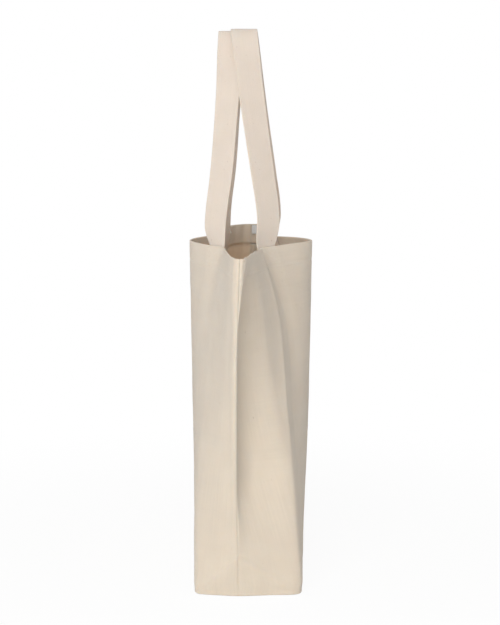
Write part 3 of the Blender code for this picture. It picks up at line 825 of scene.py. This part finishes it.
def wall_run(side, columns, heights, depth):
    """A line on the wall, through pairs of column and height."""
    ends = [level_run(side, np.array([column]), height, depth) for column, height in zip(columns, heights)]
    points, normals = zip(*ends)
    return np.concatenate(points), np.concatenate(normals)


def hem_runs(side):
    """The row of hem stitches, outside and inside."""
    columns = panel_columns(side)
    return [level_run(side, columns, HEM_STITCH_HEIGHT, depth)
            for depth in (-STITCH_LIFT, HEM_THICKNESS + STITCH_LIFT)]


def box_runs(side, end, depth):
    """The four sides and the two diagonals of the box that holds a strap end."""
    low = BAG_HEIGHT - STITCH_BOX_MARGIN - STITCH_BOX_HEIGHT
    high = low + STITCH_BOX_HEIGHT
    half = STITCH_BOX_WIDTH / 2
    corners = np.array([(-half, low), (half, low), (half, high), (-half, high)])
    shares = np.linspace(0, 1, BOX_LINE_POINTS)[:, None]
    runs = []
    for first, last in ((0, 1), (1, 2), (2, 3), (3, 0), (0, 2), (1, 3)):
        places, heights = (corners[first] + (corners[last] - corners[first]) * shares).T
        runs.append(wall_run(side, end * strap_columns(side, places), heights, depth))
    return runs


def edge_runs(side):
    """Both rows of edge stitches on both faces of a strap, up one leg and down the other."""
    def line(across, lift):
        return both_legs(np.array([strap_points(side, d, [across], lift)[0] for d in strap_distances(side)]))

    runs = []
    place = STRAP_WIDTH / 2 - EDGE_STITCH_MARGIN
    for across in (-place, place):
        for face in (1, -1):
            lift = face * (half_thickness(np.array([across])) + STITCH_LIFT)
            points = line(across, lift)
            runs.append((points, unit(points - line(across, lift * 0))))
    return runs


# Small pieces inside
def make_label(name, material):
    """A small blank woven label on the inside of the back hem, beside the left side seam."""
    distances = np.linspace(LABEL_SEAM_DISTANCE, LABEL_SEAM_DISTANCE + LABEL_LENGTH, LABEL_COLUMNS)
    top = BAG_HEIGHT - LABEL_DROP
    heights = np.linspace(top - LABEL_HEIGHT, top, LABEL_ROWS)
    middle = STRAP_DEPTH + LABEL_THICKNESS / 2
    loops = []
    marks = []
    for height in heights:
        half = 0 if height in (heights[0], heights[-1]) else LABEL_THICKNESS / 2
        columns = seam_columns(BACK, LEFT, distances, height)
        over, under = (cloth_points(BACK, columns, height, middle + lift) for lift in (-half, half))
        loops.append(np.concatenate([over, under[::-1]]))
        marks.append(row_marks(np.concatenate([distances, distances[::-1]]), height))
    return loft(name, loops, marks, material)


def allowance_section(closing):
    """Once round two raw edges pressed together: distances from the seam and depths."""
    across = np.linspace(PIECE_GAP, ALLOWANCE_WIDTH, ALLOWANCE_STEPS)
    between_layers = np.full(ALLOWANCE_STEPS, CLOTH)
    splay = 0 if closing else across / ALLOWANCE_WIDTH * ALLOWANCE_SPLAY
    layer = 0 if closing else CLOTH
    faces = (between_layers - layer, between_layers, between_layers + splay, between_layers + splay + layer)
    ways = (1, -1, 1, -1)
    depths = np.concatenate([face[::way] for face, way in zip(faces, ways)])
    return np.concatenate([across[::way] for way in ways]), depths


def make_allowance(name, stations, place, material):
    """Both layers of a seam's raw edges: place gives points at distances from the seam and depths."""
    loops = []
    marks = []
    for station in stations:
        across, depths = allowance_section(station in (stations[0], stations[-1]))
        loops.append(place(station, across, LAYER + depths))
        marks.append(row_marks(across, station - stations[0]))
    return loft(name, loops, marks, material)


def overlock_runs(stations, place):
    """Slanting stitches over the raw edges, and a row along them."""
    depth = LAYER + 2 * CLOTH + ALLOWANCE_SPLAY + STITCH_LIFT

    def line(distances, depth):
        return np.array([place(station, np.array([distance]), np.array([depth]))[0]
                         for station, distance in zip(stations, distances)])

    edge = np.full(len(stations), ALLOWANCE_WIDTH)
    zigzag = edge.copy()
    zigzag[::2] -= OVERLOCK_WIDTH
    corners = line(zigzag, depth)
    out = unit(line(zigzag, depth + CLOTH) - corners)
    runs = [(corners[i:i + 2], out[i:i + 2]) for i in range(len(corners) - 1)]
    return runs + [(line(edge, depth), out)]


def side_place(end):
    """Places on the raw edges of a side seam, pressed onto the back panel: stations are heights."""
    def place(height, across, depths):
        return cloth_points(BACK, seam_columns(BACK, end, across, height), height, depths)
    return place


def corner_place(end):
    """Places on the raw edges of a bottom corner seam: stations run from the front to the back."""
    def place(station, across, depths):
        side = FRONT if station < 0 else BACK
        column = end * (SPANS - abs(station))
        points = [cloth_points(side, [column], BOTTOM_RADIUS + ALLOWANCE_START + a, d)[0]
                  for a, d in zip(across, depths)]
        return np.array(points)
    return place


def floor_place(x, across, depths):
    """Places on the raw edges of the bottom seam, which lie on the bottom: stations run along X."""
    seam_y = edge_points(BACK, np.array([SPANS], float), 1, 0.0)[0, 1]
    return np.column_stack([np.full(len(across), x), seam_y + across, depths])


def allowance_places():
    """For each seam's raw edges: its first and last station, their distance and its places."""
    top = BOTTOM_RADIUS + ALLOWANCE_START + ALLOWANCE_WIDTH + PIECE_GAP
    reach = edge_points(BACK, np.array([SPANS], float), 1, 0.0)[0, 0] - ALLOWANCE_WIDTH
    rows = [("bottom_seam", -reach, reach, OVERLOCK_PITCH, floor_place)]
    for end, hand in ((LEFT, "left"), (RIGHT, "right")):
        side_seam = (top, HEM_BOTTOM - PIECE_GAP, OVERLOCK_PITCH, side_place(end))
        corner_seam = (-CORNER_COLUMNS, CORNER_COLUMNS, CORNER_STEP, corner_place(end))
        rows += [(hand + "_side_seam", *side_seam), (hand + "_bottom_corner", *corner_seam)]
    return rows


# Colours of the cloth, the shares of them that paint shade into the weave's gaps or darken a thread's random
# fibres, and how rough it is
CANVAS_COLOUR = (0.752, 0.663, 0.553)
STRAP_COLOUR = (0.77, 0.685, 0.60)
THREAD_COLOUR = (0.84, 0.76, 0.65)
LABEL_COLOUR = (0.80, 0.81, 0.81)
MOTE_COLOUR = (0.22, 0.13, 0.06, 1.0)
CANVAS_GAP_SHADE_SHARES = (0.70, 0.64, 0.56)
THREAD_GAP_SHARES = (0.78, 0.78, 0.78)
LABEL_GAP_SHADE_SHARES = (0.85, 0.85, 0.85)
CANVAS_ROUGHNESS = 0.92
THREAD_ROUGHNESS = 0.7
LABEL_ROUGHNESS = 0.55
CANVAS_GLOSS = 0.25
FLUFF_WEIGHT = 0.15
FLUFF_ROUGHNESS = 0.5

# The weave: its pitch and height, how uneven its threads are and how often it has a mote
CANVAS_PITCH = 0.00075
STRAP_PITCH = 0.00065
LABEL_PITCH = 0.0003
CANVAS_BUMP = 0.00022
THREAD_BUMP = 0.00012
THREAD_BUMP_STRENGTH = 0.8
LABEL_BUMP = 0.0001
LABEL_BUMP_STRENGTH = 0.6
# Where the weave's gaps begin and how far they are darkened: painted shade between the threads
GAP_RANGE = (0.05, 0.75)
GAP_SHADE_SHARE = 0.7
UNEVEN_SCALE = 9
UNEVEN_DETAIL = 3.0
UNEVEN_GRAIN = 0.6
WEFT_NOISE_PLACE = 7
MOTE_NOISE_PLACE = 3
THREAD_SWAY_SHARE = 0.5
WARP_STREAK_SHARE = 0.16
WEFT_STREAK_SHARE = 0.12
WARP_SLUB_SHARE = 0.9
WEFT_SLUB_SHARE = 0.7
CLOUD_SCALE = 26.0
CLOUD_SHARE = 0.12
MOTE_SCALE = 430.0
MOTE_FLATNESS = 0.45
MOTE_RANGE = (0.775, 0.80)
MOTE_SHARE = 0.55
FIBRE_SCALE = 2600.0
FIBRE_RANGE = (0.35, 0.6)

# The light that comes through a single layer: within the cloth, and a painted glow on its inside that stands
# in for it
LIGHT_THROUGH_WEIGHT = 0.35
LIGHT_THROUGH_SHARES = (1.0, 0.72, 0.5)
LIGHT_THROUGH_REACH = 0.002
PAINTED_GLOW_COLOUR = (0.085, 0.058, 0.036, 1.0)
PAINTED_GLOW_WEAVE_SHARE = 0.4


# Shader sums
class Signal:
    """A socket's value in a sum."""

    def __init__(self, nodes, socket):
        self.nodes = nodes
        self.socket = socket

    def __add__(self, other):
        return self.nodes.sum("ADD", self, other)

    def __radd__(self, other):
        return self.nodes.sum("ADD", other, self)

    def __sub__(self, other):
        return self.nodes.sum("SUBTRACT", self, other)

    def __rsub__(self, other):
        return self.nodes.sum("SUBTRACT", other, self)

    def __mul__(self, other):
        return self.nodes.sum("MULTIPLY", self, other)

    def __rmul__(self, other):
        return self.nodes.sum("MULTIPLY", other, self)


class Nodes:
    """The nodes of a material or of the world."""

    def __init__(self, tree):
        self.tree = tree

    def node(self, kind, settings=None, inputs=None):
        """Adds a node of a type, with its settings, and values or links for its sockets."""
        made = self.tree.nodes.new(kind)
        for key, value in (settings or {}).items():
            setattr(made, key, value)
        for key, value in (inputs or {}).items():
            self.feed(made.inputs[key], value)
        return made

    def feed(self, socket, value):
        """Links a value of a sum to a socket, or sets a constant on it."""
        if isinstance(value, Signal):
            self.tree.links.new(value.socket, socket)
        else:
            socket.default_value = value

    def out(self, node, name=0):
        return Signal(self, node.outputs[name])

    def sum(self, operation, first, second=0.0):
        return self.out(self.node("ShaderNodeMath", {"operation": operation}, {0: first, 1: second}))

    def ramp(self, value, low, high):
        """0 below the low value, 1 above the high one, smooth between."""
        node = self.node("ShaderNodeMapRange", {"interpolation_type": "SMOOTHSTEP"},
                         {"Value": value, "From Min": low, "From Max": high})
        return self.out(node, "Result")

    def seen_by(self, *rays):
        """1 for light of one of these kinds of rays, or else 0."""
        path = self.node("ShaderNodeLightPath")
        seen = [self.out(path, ray) for ray in rays]
        return functools.reduce(lambda first, second: self.sum("MAXIMUM", first, second), seen)

    def vector(self, x, y, z):
        return self.out(self.node("ShaderNodeCombineXYZ", None, {0: x, 1: y, 2: z}))

    def noise(self, place, scale, detail=2.0, rough=0.5):
        node = self.node("ShaderNodeTexNoise", None,
                         {"Vector": place, "Scale": scale, "Detail": detail, "Roughness": rough})
        return self.out(node, "Fac")

    def blend(self, first, last, share, how="MIX"):
        """A colour between two, by a share."""
        node = self.node("ShaderNodeMix", {"data_type": "RGBA", "blend_type": how},
                         {"Factor": share, "A": first, "B": last})
        return self.out(node, "Result")


class Finish(Nodes):
    """A material with one shader."""

    def __init__(self, name, roughness):
        self.material = bpy.data.materials.new(name)
        self.material.use_nodes = True
        super().__init__(self.material.node_tree)
        self.shader = self.tree.nodes["Principled BSDF"]
        self.look("Roughness", roughness)

    def look(self, socket, value):
        """Links or sets an input of the shader."""
        self.feed(self.shader.inputs[socket], value)

    def marks(self):
        """The cloth values of a point, as one vector and one by one."""
        mark = self.out(self.node("ShaderNodeAttribute", {"attribute_name": "cloth"}), "Vector")
        parts = self.node("ShaderNodeSeparateXYZ", None, {0: mark})
        return mark, [self.out(parts, i) for i in range(3)]

    def bump(self, height, distance, strength):
        node = self.node("ShaderNodeBump", None,
                         {"Strength": strength, "Distance": distance, "Height": height})
        self.look("Normal", self.out(node))


# Cloth, thread and label
def weave(finish, across, along, pitch):
    """Height of a plain weave, 0 in its gaps and 1 on top of its threads."""
    a = finish.sum("SINE", across * (math.pi / pitch))
    b = finish.sum("SINE", along * (math.pi / pitch))
    crossing = a * b
    warp = (finish.sum("ABSOLUTE", a) + crossing) * 0.5
    weft = (finish.sum("ABSOLUTE", b) - crossing) * 0.5
    return finish.sum("MAXIMUM", warp, weft)


def shades(colour, gap_shares):
    """A darker colour and the full one: painted shade for a weave's gaps, or a thread's darker fibres."""
    return tuple(c * share for c, share in zip(colour, gap_shares)) + (1.0,), tuple(colour) + (1.0,)


def canvas(name, colour, pitch):
    """Undyed cotton canvas: a plain weave with uneven threads, slubs and small motes, painted shade in its
    gaps and a painted glow on the inside of a single layer.
    """
    finish = Finish(name, CANVAS_ROUGHNESS)
    mark, (across, along, single) = finish.marks()
    warp_place = finish.vector(across * (1 / pitch), along * UNEVEN_SCALE, 0)
    weft_place = finish.vector(across * UNEVEN_SCALE, along * (1 / pitch), WEFT_NOISE_PLACE)
    mote_place = finish.vector(across, along * MOTE_FLATNESS, MOTE_NOISE_PLACE)
    warp = finish.noise(warp_place, 1.0, UNEVEN_DETAIL, UNEVEN_GRAIN) - 0.5
    weft = finish.noise(weft_place, 1.0, UNEVEN_DETAIL, UNEVEN_GRAIN) - 0.5
    cloud = finish.noise(mark, CLOUD_SCALE, UNEVEN_DETAIL) - 0.5
    mote = finish.ramp(finish.noise(mote_place, MOTE_SCALE, 1.0), *MOTE_RANGE) * MOTE_SHARE
    sway = pitch * THREAD_SWAY_SHARE
    height = weave(finish, across + weft * sway, along + warp * sway, pitch)
    # Painted shade: the weave's gaps take a darker colour than the tops of its threads
    painted_weave_shading = finish.ramp(height, *GAP_RANGE) * GAP_SHADE_SHARE + (1 - GAP_SHADE_SHARE)
    streak = warp * WARP_STREAK_SHARE + weft * WEFT_STREAK_SHARE + cloud * CLOUD_SHARE + 1.0
    shade = finish.blend(*shades(colour, CANVAS_GAP_SHADE_SHARES), painted_weave_shading)
    shade = finish.blend(shade, finish.vector(streak, streak, streak), 1.0, "MULTIPLY")
    finish.look("Base Color", finish.blend(shade, MOTE_COLOUR, mote))
    # Painted glow: a faint emission on the inside of a single layer stands in for light that comes through
    # the cloth
    painted_glow = single * (height * PAINTED_GLOW_WEAVE_SHARE + (1 - PAINTED_GLOW_WEAVE_SHARE))
    finish.look("Emission Color", finish.blend((0, 0, 0, 1), PAINTED_GLOW_COLOUR, painted_glow))
    finish.look("Emission Strength", 1.0)
    finish.bump(height + warp * WARP_SLUB_SHARE + weft * WEFT_SLUB_SHARE, CANVAS_BUMP, 1.0)
    finish.look("Specular IOR Level", CANVAS_GLOSS)
    finish.look("Sheen Weight", FLUFF_WEIGHT)
    finish.look("Sheen Roughness", FLUFF_ROUGHNESS)
    finish.look("Subsurface Weight", LIGHT_THROUGH_WEIGHT)
    finish.look("Subsurface Radius", LIGHT_THROUGH_SHARES)
    finish.look("Subsurface Scale", LIGHT_THROUGH_REACH)
    return finish.material


def thread(name, colour):
    """Twisted cotton thread."""
    finish = Finish(name, THREAD_ROUGHNESS)
    fibre = finish.noise(finish.out(finish.node("ShaderNodeTexCoord"), "Object"), FIBRE_SCALE)
    shade = finish.blend(*shades(colour, THREAD_GAP_SHARES), finish.ramp(fibre, *FIBRE_RANGE))
    finish.look("Base Color", shade)
    finish.bump(fibre, THREAD_BUMP, THREAD_BUMP_STRENGTH)
    return finish.material


def tape(name, colour):
    """Smooth white woven tape, with fine ribs."""
    finish = Finish(name, LABEL_ROUGHNESS)
    _, (across, along, _) = finish.marks()
    height = weave(finish, across, along, LABEL_PITCH)
    # Painted shade: the tape is darker in its weave's gaps
    finish.look("Base Color", finish.blend(*shades(colour, LABEL_GAP_SHADE_SHARES), height))
    finish.bump(height, LABEL_BUMP, LABEL_BUMP_STRENGTH)
    return finish.material


# The whole bag
def fix(piece, slot, *nodes):
    """Lets a piece ride on the bag, in place of nodes of the frame. The slot is not used."""
    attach(piece, "bag")
    if nodes:
        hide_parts(*nodes)


def add_panel(side, face, body, cotton):
    """A panel with its hem, and the hem's stitches."""
    fix(make_panel(face + "_canvas", side, body), "canvas", face + "_panel", face + "_hem")
    fix(sew(face + "_hem_stitches", hem_runs(side), cotton), "cotton_thread", face + "_hem_stitching")


def add_handle(side, face, strap, cotton):
    """A strap with its edge stitches, both curving up from the rim, and its sewn boxes."""
    handle = make_strap(face + "_strap", side, strap)
    ends = (f"{face}_handle_{hand}_{part}" for hand in ("left", "right") for part in ("flex", "sewn_end"))
    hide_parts(face + "_handle", *ends)
    edges = sew(face + "_strap_edge_stitches", edge_runs(side), cotton)
    swing_y = float(np.mean([point[1] for point in rim_edges(side)]))
    for piece in (handle, edges):
        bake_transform(piece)
    inner = STRAP_DEPTH + STRAP_THICKNESS + STITCH_LIFT
    for end, hand in ((LEFT, "left"), (RIGHT, "right")):
        runs = box_runs(side, end, -STITCH_LIFT) + box_runs(side, end, inner)
        box = sew(f"{face}_{hand}_box_stitches", runs, cotton)
        fix(box, "cotton_thread", f"{face}_handle_{hand}_stitching")


def add_raw_edges(seam, stations, place, body, cotton):
    """A seam's raw edges inside the bag, and the stitches over them."""
    fix(make_allowance(seam + "_raw_edges", stations, place, body), "hem_canvas", seam + "_allowance")
    fix(sew(seam + "_overlock_stitches", overlock_runs(stations, place), cotton), "cotton_thread")


def make_bag():
    """Every piece of the bag, and what it is in the frame."""
    body = canvas("canvas", CANVAS_COLOUR, CANVAS_PITCH)
    strap = canvas("strap_canvas", STRAP_COLOUR, STRAP_PITCH)
    cotton = thread("cotton_thread", THREAD_COLOUR)
    white = tape("label_tape", LABEL_COLOUR)
    for side, face in ((FRONT, "front"), (BACK, "back")):
        add_panel(side, face, body, cotton)
        add_handle(side, face, strap, cotton)
    fix(make_label("blank_label", white), "label_tape", "hem_label")
    for seam, first, last, step, place in allowance_places():
        stations = np.linspace(first, last, int((last - first) / step) + 1)
        add_raw_edges(seam, stations, place, body, cotton)


# Camera, floor and light
CAMERA_DISTANCE = 2.5
CAMERA_HEIGHT = 0.615
CAMERA_TURN = math.radians(1.5)
CAMERA_PLACE = (CAMERA_DISTANCE * math.cos(CAMERA_TURN), CAMERA_DISTANCE * math.sin(CAMERA_TURN),
                CAMERA_HEIGHT)
CAMERA_TARGET = (0.0, -0.001, 0.3001)
LENS_LENGTH = 119.06
SENSOR_WIDTH = 36.0
FLOOR_SIZE = 14.0
FLOOR_DROP = 0.0004
FLOOR_WHITE_SHARE = 0.93
SHADOW_REACH = 0.25
SHADOW_END = 0.9
FLOOR_COLOUR = (0.92, 0.92, 0.92, 1)
FLOOR_ROUGHNESS = 0.9
WORLD_STRENGTH = 0.51
KEY_PLACE = (3.4, -0.62, 1.9)
KEY_TARGET = (0, 0, 0.3)
KEY_SIZE = 2.1
KEY_POWER = 98.0


def set_up(name, data, place, target):
    """Adds a camera or a lamp that points at a target."""
    thing = bpy.data.objects.new(name, data)
    bpy.context.scene.collection.objects.link(thing)
    thing.location = place
    direction = Vector(target) - thing.location
    thing.rotation_euler = direction.to_track_quat("-Z", "Y").to_euler()
    return thing


def make_camera():
    """The camera, close to square onto the near end and a little above the rim."""
    data = bpy.data.cameras.new("camera")
    data.sensor_fit = "AUTO"
    data.sensor_width = SENSOR_WIDTH
    data.lens = LENS_LENGTH
    bpy.context.scene.camera = set_up("camera", data, CAMERA_PLACE, CAMERA_TARGET)


def make_lamp():
    """One large lamp, high up behind the camera."""
    data = bpy.data.lights.new("key", "AREA")
    data.shape = "SQUARE"
    data.size = KEY_SIZE
    data.energy = KEY_POWER
    set_up("key", data, KEY_PLACE, KEY_TARGET)


def make_floor():
    """A wide white floor that keeps the bag's shadow."""
    bm = bmesh.new()
    bmesh.ops.create_grid(bm, x_segments=1, y_segments=1, size=FLOOR_SIZE / 2)
    bmesh.ops.translate(bm, verts=bm.verts, vec=(0, 0, -FLOOR_DROP))
    finish = Finish("white_floor", FLOOR_ROUGHNESS)
    finish.look("Base Color", FLOOR_COLOUR)
    glow = finish.node("ShaderNodeEmission", None, {"Color": (1, 1, 1, 1), "Strength": 1.0})
    place = finish.out(finish.node("ShaderNodeTexCoord"), "Object")
    reach = finish.out(finish.node("ShaderNodeVectorMath", {"operation": "LENGTH"}, {0: place}), "Value")
    far = finish.ramp(reach, SHADOW_REACH, SHADOW_END)
    white = far * (1 - FLOOR_WHITE_SHARE) + FLOOR_WHITE_SHARE
    seen = finish.seen_by("Is Camera Ray", "Is Glossy Ray", "Is Transmission Ray")
    mix = finish.node("ShaderNodeMixShader", None,
                      {0: seen * white, 1: finish.out(finish.shader), 2: finish.out(glow)})
    finish.feed(finish.tree.nodes["Material Output"].inputs["Surface"], finish.out(mix))
    add_piece("floor", bm, finish.material)


def make_world():
    """White all round, brighter to look at than it lights."""
    world = bpy.data.worlds.new("studio")
    bpy.context.scene.world = world
    world.use_nodes = True
    nodes = Nodes(world.node_tree)
    strength = nodes.seen_by("Is Camera Ray", "Is Glossy Ray") * (1 - WORLD_STRENGTH) + WORLD_STRENGTH
    background = nodes.tree.nodes["Background"]
    nodes.feed(background.inputs["Color"], (1, 1, 1, 1))
    nodes.feed(background.inputs["Strength"], strength)


def make_studio():
    """What stands round the bag."""
    make_camera()
    make_floor()
    make_world()
    make_lamp()
    bpy.context.scene.view_settings.view_transform = "Standard"


make_bag()
make_studio()
